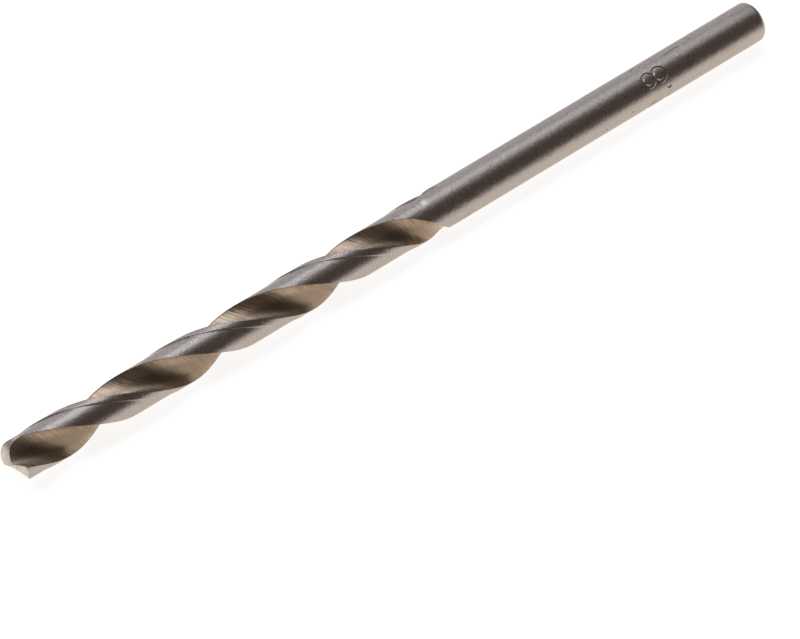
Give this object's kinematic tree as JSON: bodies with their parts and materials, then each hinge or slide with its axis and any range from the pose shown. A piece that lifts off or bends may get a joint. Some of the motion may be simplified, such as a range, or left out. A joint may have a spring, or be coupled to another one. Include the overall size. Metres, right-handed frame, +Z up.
{
  "type": "twist drill bit",
  "caption": "Jobber twist drill bit with a plain round shank, helical flutes, narrow margins and a ground conical point; held in a chuck to drill holes in metal, wood or plastic.",
  "frame": {"origin": "middle of the drill's length, on the surface that it lies on", "axes": "+X along the drill's axis from the point to the shank end, +Z up from the surface that it lies on"},
  "size_m": [0.061, 0.0028, 0.0028],
  "materials": {
    "tool_steel": "ground bright high-speed steel, straw-brown in the flutes"
  },
  "bodies": {
    "root": {"drill_bit": "tool_steel"}
  },
  "joints": []
}
